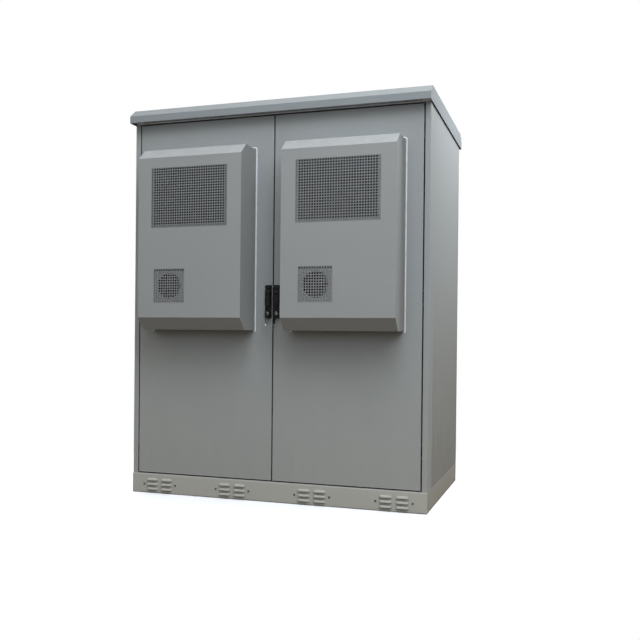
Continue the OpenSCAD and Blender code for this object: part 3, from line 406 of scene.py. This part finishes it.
# Gland plate
# A blank plate of galvanised sheet closes the cable opening in the floor, screwed down.
# Its spangle shows when the doors stand open.
galvanised = plated("galvanised_sheet", (0.50, 0.51, 0.52, 1.0), (0.36, 0.37, 0.385, 1.0),
                    spangle=70.0, smooth=0.34, rough=0.52)
dress(galvanised, "gland_plate")

# Posts and panels
# The carcass is folded and welded sheet: floor, three front posts with sill and head lips, two
# sides, a back and a head panel in one mid-grey coat. The sides take a dark brown film up to 1.2 m, painted
# shade that darkens them towards the bottom.
# Plated button screws hold the back on, up its edges and across its foot and head.
body_paint = (0.240, 0.258, 0.262, 1.0)
body_shade = (0.256, 0.272, 0.274, 1.0)
body_coat = powder_coat("body_coat", body_paint, body_shade, road_dust, amount=0.4, splash=0.9, highlight_width=0.002)
dress(body_coat, "left_front_post", "right_front_post", "centre_post", "rear_panel", "top_panel",
      "floor_panel", "frame_lips")
# Painted shade: the sides darken towards the bottom under a dark brown film.
side_shaded_coat = powder_coat("side_shaded_coat", body_paint, body_shade, (0.165, 0.150, 0.122, 1.0),
                        amount=0.8, splash=1.2, highlight_width=0.002)
dress(side_shaded_coat, "left_side_panel", "right_side_panel")


def fitted(name, form, material, body, crease=None):
    bmesh.ops.recalc_face_normals(form, faces=form.faces)
    mesh = bpy.data.meshes.new(name)
    form.to_mesh(mesh)
    form.free()
    if crease:
        mesh.shade_smooth()
        mesh.set_sharp_from_angle(angle=math.radians(crease))
    mesh.materials.append(material)
    piece = bpy.data.objects.new(name, mesh)
    scene.collection.objects.link(piece)
    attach(piece, body)


def button_heads(name, places, facing, wide, tall, material, body):
    turn = Vector(facing).normalized().to_track_quat("Z", "Y").to_matrix()
    socket = 0.26
    dome_rings = [(0.5, 0.0), (0.5, 0.25), (0.46, 0.6), (0.37, 0.9), (0.3, 1.0)]
    socket_rings = [(socket, 1.0), (socket * 0.96, 0.35)]
    around = 24
    sixth = math.pi / 3
    form = bmesh.new()
    for place in places:
        loops = []
        for radius, lift in dome_rings + socket_rings:
            loop = []
            for step in range(around):
                angle = 2.0 * math.pi * step / around
                reach = wide * radius
                if (radius, lift) in socket_rings:
                    reach *= math.cos(sixth / 2) / math.cos(angle % sixth - sixth / 2)
                point = Vector((reach * math.cos(angle), reach * math.sin(angle), tall * lift))
                loop.append(form.verts.new(Vector(place) + turn @ point))
            loops.append(loop)
        for lower, upper in zip(loops, loops[1:]):
            for step in range(around):
                after = (step + 1) % around
                form.faces.new((lower[step], lower[after], upper[after], upper[step]))
        form.faces.new(loops[-1])
        form.faces.new(list(reversed(loops[0])))
    fitted(name, form, material, body, crease=40)


screw_zinc = plated("screw_zinc", (0.62, 0.61, 0.57, 1.0), (0.45, 0.45, 0.44, 1.0),
                    spangle=260.0, smooth=0.28, rough=0.45)
back_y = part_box("rear_panel")[1].y
back_edge = 0.757
back_rows = [0.16 + 0.34 * k for k in range(6)]
back_columns = (-0.5, -0.17, 0.17, 0.5)
foot_and_head = (0.13, 1.885)
back_places = [(side * back_edge, back_y, z) for side in (-1, 1) for z in back_rows]
back_places += [(x, back_y, z) for x in back_columns for z in foot_and_head]
button_heads("back_screws", back_places, (0, 1, 0), wide=0.012, tall=0.0032,
             material=screw_zinc, body="cabinet")

# Roof
# A low hipped hood on two hat rails keeps sun and rain off the head panel.
# A strip of round holes behind its front eave lets warm air out; the rails are galvanised. The strip is
# painted a pale bluish white as painted light in the eave's shade.
roof_coat = powder_coat("roof_coat", (0.198, 0.219, 0.229, 1.0), (0.212, 0.232, 0.242, 1.0),
                        (0.40, 0.40, 0.38, 1.0), amount=0.35, splash=0.05, highlight_width=0.002, reach=0.014)
dress(roof_coat, "roof_hood")
# Painted light: the strip's pale bluish white stands in for light under the eave.
strip_painted_light = powder_coat("eave_strip_painted_light", (0.72, 0.80, 0.90, 1.0), (0.75, 0.83, 0.92, 1.0),
                         road_dust, amount=0.1, splash=0.05, highlight_width=0.0, reach=0.001)
dress(strip_painted_light, "roof_vent_strip")
dress(galvanised, "roof_rails")

# Battery bays
# Slotted uprights and pressed shelves in galvanised steel carry the battery modules.
# A copper bar on stand-offs at the back earths the frame, with plated bolts in its holes.
dress(galvanised, "left_uprights", "right_uprights", "left_shelves", "right_shelves")

tarnish, given, gives = effect(
    "tarnish",
    [("Bright", "NodeSocketColor", grey), ("Aged", "NodeSocketColor", grey),
     ("Scale", "NodeSocketFloat", 30.0)], colour_relief)
spot = spot_on(tarnish)
stain = noise(tarnish, spot, scale=given["Scale"], detail=7.0, roughness=0.65)
aged = spread(tarnish, stain, (0.4, 0.68), (0.0, 1.0))
tone = two_colours(tarnish, aged, given["Bright"], given["Aged"])
gloss = spread(tarnish, aged, (0.0, 1.0), (0.16, 0.42))
brush = add(tarnish, "ShaderNodeMapping", {"Vector": spot, "Scale": (1200.0, 1200.0, 30.0)}).outputs[0]
give(tarnish, gives, Colour=tone, Roughness=gloss, Height=noise(tarnish, brush, scale=1.0, detail=2.0))


def bare_metal(name, bright, aged, scale, depth):
    made, tree, shader = surface(name, Metallic=1.0)
    skin = use(tree, tarnish, {"Bright": bright, "Aged": aged, "Scale": scale})
    cover(tree, shader, skin["Colour"], skin, strength=0.1, depth=depth)
    return made


bar_copper = bare_metal("bar_copper", (0.80, 0.42, 0.26, 1.0), (0.50, 0.24, 0.14, 1.0),
                        scale=28.0, depth=0.0003)
dress(bar_copper, "earth_bar")
bolt_pitch = 0.042
bar_low, bar_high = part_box("earth_bar")
bar_mid = (bar_low.z + bar_high.z) / 2
bar_places = [(0.0, bar_low.y, bar_mid + bolt_pitch * (k - 2.5)) for k in range(6)]
button_heads("earth_bolts", bar_places, (0, -1, 0), wide=0.014, tall=0.005,
             material=screw_zinc, body="cabinet")

# Hinges
# Concealed hinges: black-finished arms reach from the posts through notches in the doors to pins.
# Two black button screws hold each arm's foot to its post.
hinge_black = plated("hinge_black", (0.055, 0.055, 0.056, 1.0), (0.03, 0.03, 0.031, 1.0),
                     spangle=210.0, smooth=0.4, rough=0.6)
dress(hinge_black, "hinge_frame_leaves", "left_hinge_leaves", "right_hinge_leaves")
foot_x = 0.745
foot_y = -0.420
foot_rise = 0.014
hinge_shares = (0.1, 0.5, 0.9)
door_low, door_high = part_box("left_door_skin")
hinge_heights = [door_low.z + share * (door_high.z - door_low.z) for share in hinge_shares]
hinge_places = [(side * foot_x, foot_y, z + rise)
                for side in (-1, 1) for z in hinge_heights for rise in (-foot_rise, foot_rise)]
button_heads("hinge_screws", hinge_places, (0, -1, 0), wide=0.009, tall=0.0026,
             material=screw_black, body="cabinet")

# Doors
# Each door is a folded pan with a flanged back, stiffened by two channels behind the lower part.
# A foam seal runs round the flange and closes on the lip of the frame.
door_coat = powder_coat("door_coat", (0.238, 0.256, 0.258, 1.0), (0.254, 0.270, 0.270, 1.0),
                        road_dust, amount=0.35, splash=0.8, highlight_width=0.002)
dress(door_coat, "left_door_skin", "right_door_skin")
dress(galvanised, "left_door_stiffeners", "right_door_stiffeners")
foam = moulded("seal_foam", (0.018, 0.018, 0.018, 1.0), (0.034, 0.033, 0.031, 1.0),
               grain=700.0, satin=0.75, matt=0.92, depth=0.0006)
dress(foam, "left_door_seal", "right_door_seal")

# Cooling-unit hoods
# One folded sheet with welded ends, punched with a large and a small field of round holes.
# The hood is coated like the door. In the hole fields the webs are painted darker and the walls of the
# holes near black, as painted shade.
# The pale bluish film on the hoods' upward faces is partly dust and partly painted sky light.
hood_coat = powder_coat("hood_coat", (0.232, 0.245, 0.246, 1.0), (0.247, 0.259, 0.258, 1.0),
                        (0.40, 0.415, 0.43, 1.0), amount=0.8, splash=0.05, highlight_width=0.0)
unit_mid = 0.38
coil_field = {"x": 0.0, "z": 1.505, "half_x": 0.206, "half_z": 0.149}
fan_field = {"x": -0.105, "z": 1.069, "half_x": 0.085, "half_z": 0.085}
web_shade = 0.34
wall_shade = 0.97
hole_shade_black = (0.03, 0.033, 0.04, 1.0)
tree = hood_coat.node_tree
paint_in = tree.nodes["Principled BSDF"].inputs["Base Color"]
clean = paint_in.links[0].from_socket
hood_spot = add(tree, "ShaderNodeSeparateXYZ", {0: spot_on(tree)}).outputs
hood_mid = reckon(tree, "MULTIPLY", reckon(tree, "SIGN", hood_spot["X"]), unit_mid)
off_mid = reckon(tree, "SUBTRACT", hood_spot["X"], hood_mid)
fields = []
for field in (coil_field, fan_field):
    beside = reckon(tree, "COMPARE", off_mid, field["x"], field["half_x"])
    level_with = reckon(tree, "COMPARE", hood_spot["Z"], field["z"], field["half_z"])
    fields.append(reckon(tree, "MULTIPLY", beside, level_with))
hood_normal = add(tree, "ShaderNodeNewGeometry").outputs["Normal"]
hood_turn = add(tree, "ShaderNodeSeparateXYZ", {0: hood_normal}).outputs["Y"]
# Painted shade: near black on the walls of the holes, about a third of it on the webs between them.
shade_by_facing = spread(tree, hood_turn, (-0.9, -0.5), (web_shade, wall_shade))
field_shade = reckon(tree, "MULTIPLY", reckon(tree, "MAXIMUM", *fields), shade_by_facing)
tree.links.new(two_colours(tree, field_shade, clean, hole_shade_black), paint_in)
dress(hood_coat, "left_unit_hood", "right_unit_hood")

# Hood sealant
# A bead of silicone closes the joint between each hood's flange and the door's face; its pale grey is also
# a painted highlight along the flange's edge.
# It is gunned on up the sides and over the top, and left open below so that water drains.
# Pale grey silicone, standing in partly for the highlight on the flange's edge.
silicone_and_highlight = moulded("silicone_with_painted_highlight", (0.60, 0.62, 0.64, 1.0), (0.52, 0.54, 0.56, 1.0),
                   grain=300.0, satin=0.4, matt=0.55, depth=0.0003)


def seal_bead(side):
    tuck = 0.0005
    bend = 0.008
    half_wide = 0.0036
    outward = 0.0012
    proud = 0.0034
    corner_steps = 6
    half_turn = 8
    hood_low, hood_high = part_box(side + "_unit_hood")
    face_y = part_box(side + "_door_skin")[0].y
    x0 = hood_low.x + tuck
    x1 = hood_high.x - tuck
    z0 = hood_low.z + tuck
    z1 = hood_high.z - tuck
    path = [(Vector((x1, face_y, z0)), Vector((1.0, 0.0, 0.0)))]
    for corner_x, begin in ((x1 - bend, 0.0), (x0 + bend, 90.0)):
        for step in range(corner_steps + 1):
            angle = math.radians(begin + 90.0 * step / corner_steps)
            way = Vector((math.cos(angle), 0.0, math.sin(angle)))
            path.append((Vector((corner_x, face_y, z1 - bend)) + way * bend, way))
    path.append((Vector((x0, face_y, z0)), Vector((-1.0, 0.0, 0.0))))
    form = bmesh.new()
    loops = []
    for place, way in path:
        loop = []
        for step in range(half_turn + 1):
            angle = math.pi * step / half_turn
            rise = Vector((0.0, -proud * math.sin(angle), 0.0))
            loop.append(form.verts.new(place + way * (half_wide * math.cos(angle) + outward) + rise))
        loops.append(loop)
    for loop, after in zip(loops, loops[1:]):
        for step in range(len(loop)):
            nearby = (step + 1) % len(loop)
            form.faces.new((loop[step], after[step], after[nearby], loop[nearby]))
    form.faces.new(loops[0])
    form.faces.new(loops[-1])
    fitted(side + "_hood_sealant", form, silicone_and_highlight, side + "_door", crease=50)


for side in ("left", "right"):
    seal_bead(side)

# Cooling-unit housings
# Galvanised boxes pass through the doors, with slotted and vented covers towards the batteries.
# Button screws hold each cover round its edge.
dress(galvanised, "left_unit_chassis", "right_unit_chassis")
cover_edge = 0.238
cover_rows = [0.90 + 0.162 * k for k in range(6)]
cover_columns = [0.08 * k for k in (-2, 0, 2)]
cover_ends = (0.892, 1.718)
unit_mids = {"left": -unit_mid, "right": unit_mid}
for side, mid in unit_mids.items():
    cover_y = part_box(side + "_unit_chassis")[1].y
    cover_places = [(mid + edge, cover_y, z) for edge in (-cover_edge, cover_edge) for z in cover_rows]
    cover_places += [(mid + x, cover_y, z) for x in cover_columns for z in cover_ends]
    button_heads(side + "_cover_screws", cover_places, (0, 1, 0), wide=0.009, tall=0.0026,
                 material=screw_zinc, body=side + "_door")

# Condenser coils
# Rows of thin aluminium fins, painted near black as the shade inside the hood, behind the upper hole field
# in a bent sheet frame.
# The frame's edges show paler through the outermost holes.
fin_shade_finish, tree, shader = surface("coil_fins", Metallic=0.3, Specular_IOR_Level=0.2)
# The near-black fin colour is painted shade.
skin = use(tree, zinc_spangle, {"Bright": (0.016, 0.017, 0.02, 1.0), "Dull": (0.006, 0.007, 0.008, 1.0),
                                "Spangle": 40.0, "Smooth": 0.3, "Rough": 0.5})
fin_waves = add(tree, "ShaderNodeTexWave", {"Vector": spot_on(tree), "Scale": 90.0, "Distortion": 0.4},
                bands_direction="Z")
fins = {"Roughness": skin["Roughness"], "Height": fin_waves.outputs["Fac"]}
cover(tree, shader, skin["Colour"], fins, strength=0.35, depth=0.0008)
dress(fin_shade_finish, "left_unit_coil", "right_unit_coil")

frame_sheet = plated("coil_frame_sheet", (0.20, 0.205, 0.21, 1.0), (0.12, 0.125, 0.13, 1.0),
                     spangle=90.0, smooth=0.45, rough=0.6)


def flat_bar(form, x0, x1, z0, z1, front_y, rear_y):
    corners = [(x0, z0), (x1, z0), (x1, z1), (x0, z1)]
    front = [form.verts.new((x, front_y, z)) for x, z in corners]
    rear = [form.verts.new((x, rear_y, z)) for x, z in corners]
    form.faces.new(front)
    form.faces.new(list(reversed(rear)))
    for k in range(4):
        form.faces.new((front[k], rear[k], rear[(k + 1) % 4], front[(k + 1) % 4]))


def coil_frame(side, mid):
    behind_face = 0.0042
    thick = 0.0012
    lap = 0.001
    outside = 0.2088
    inside = 0.1945
    foot = 1.3562
    sill = 1.3690
    top = 1.6550
    front_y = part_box(side + "_unit_hood")[0].y + behind_face
    coil_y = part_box(side + "_unit_coil")[0].y + lap
    form = bmesh.new()
    flat_bar(form, mid - outside, mid - inside, foot, top, front_y, front_y + thick)
    flat_bar(form, mid + inside, mid + outside, foot, top, front_y, front_y + thick)
    flat_bar(form, mid - inside, mid + inside, foot, sill, front_y, front_y + thick)
    flat_bar(form, mid - outside, mid - outside + thick, foot, top, front_y, coil_y)
    flat_bar(form, mid + outside - thick, mid + outside, foot, top, front_y, coil_y)
    fitted(side + "_coil_frame", form, frame_sheet, side + "_door")


for side, mid in unit_mids.items():
    coil_frame(side, mid)

# Fans
# Small axial fans blow out through the lower hole fields, each in a plated plate with a duct.
# Rotors, struts and motors are moulded in black, and the strip along the plate's top is painted black as
# the shade behind the top row of holes.
plate_y = -0.6321
plate_top = 1.1394
frame_finish, tree, shader = surface("fan_frame_finish")
skin = use(tree, mould_grain, {"Colour": (0.018, 0.018, 0.019, 1.0), "Worn": (0.03, 0.03, 0.03, 1.0),
                               "Grain": 1200.0, "Satin": 0.4, "Matt": 0.55})
plate_skin = use(tree, zinc_spangle, {"Bright": (0.32, 0.33, 0.33, 1.0), "Dull": (0.24, 0.25, 0.255, 1.0),
                                      "Spangle": 120.0, "Smooth": 0.35, "Rough": 0.5})
fan_spot = add(tree, "ShaderNodeSeparateXYZ", {0: spot_on(tree)}).outputs
on_face = reckon(tree, "LESS_THAN", fan_spot["Y"], plate_y)
# Above plate_top the face is painted black as shade.
below_painted_shade = reckon(tree, "LESS_THAN", fan_spot["Z"], plate_top)
on_plate = reckon(tree, "MULTIPLY", on_face, below_painted_shade)
plate_tone = two_colours(tree, on_plate, skin["Colour"], plate_skin["Colour"])
cover(tree, shader, plate_tone, skin, strength=0.2, depth=0.0003)
dress(frame_finish, "left_fan_frame", "right_fan_frame")
fan_black = moulded("fan_black", (0.016, 0.016, 0.017, 1.0), (0.028, 0.028, 0.028, 1.0),
                    grain=1300.0, satin=0.36, matt=0.5, depth=0.0002)
dress(fan_black, "left_fan_rotor", "right_fan_rotor")

# Handles
# Swing handles of black glass-filled nylon: a base on the door, and a lever that lifts and turns.
# The spindle, its cam and the lock rods behind the skin are zinc-plated steel. Turns are kept as
# quaternions, because a handle turned a right angle on a swung door loses accuracy as three angles.
for held_body in frame["bodies"].values():
    held_body.rotation_mode = "QUATERNION"
handle_black = moulded("handle_black", (0.006, 0.006, 0.0065, 1.0), (0.014, 0.014, 0.014, 1.0),
                       grain=1800.0, satin=0.3, matt=0.46, depth=0.0002)
dress(handle_black, "left_handle_base", "right_handle_base", "left_lever", "right_lever")
rod_zinc = plated("rod_zinc", (0.64, 0.63, 0.58, 1.0), (0.47, 0.46, 0.43, 1.0),
                  spangle=210.0, smooth=0.26, rough=0.42)
dress(rod_zinc, "left_upper_rod", "right_upper_rod", "left_lower_rod", "right_lower_rod")


def two_tone(name, axis, metal_side, split):
    made, tree, shader = surface(name, Specular_IOR_Level=0.22)
    dark = use(tree, mould_grain, {"Colour": (0.013, 0.013, 0.014, 1.0), "Worn": (0.026, 0.026, 0.026, 1.0),
                                   "Grain": 1800.0, "Satin": 0.32, "Matt": 0.48})
    pale = use(tree, zinc_spangle, {"Bright": (0.62, 0.61, 0.57, 1.0), "Dull": (0.46, 0.45, 0.43, 1.0),
                                    "Spangle": 300.0, "Smooth": 0.24, "Rough": 0.4})
    along = add(tree, "ShaderNodeSeparateXYZ", {0: spot_on(tree)}).outputs[axis]
    metal = reckon(tree, metal_side, along, split)
    sheen = add(tree, "ShaderNodeMix", {0: metal, 2: dark["Roughness"], 3: pale["Roughness"]},
                data_type="FLOAT").outputs[0]
    tree.links.new(two_colours(tree, metal, dark["Colour"], pale["Colour"]), shader["Base Color"])
    tree.links.new(sheen, shader["Roughness"])
    tree.links.new(metal, shader["Metallic"])
    return made


behind_base = -0.4645
spindle_finish = two_tone("spindle_finish", "Y", "GREATER_THAN", behind_base)
dress(spindle_finish, "left_spindle", "right_spindle")

# Locks and keys
# Nickel-plated cylinders sit in the handle bases, each with a flat key and a spare on a ring.
# The keys are covered in black plastic down to the bare tips of the spares' blades.
nickel = bare_metal("nickel_plate", (0.72, 0.71, 0.68, 1.0), (0.55, 0.54, 0.51, 1.0),
                    scale=160.0, depth=0.0001)
dress(nickel, "left_lock_barrel", "right_lock_barrel")
bare_tip = 0.8860
key_finish = two_tone("key_finish", "Z", "LESS_THAN", bare_tip)
dress(key_finish, "left_keys", "right_keys")
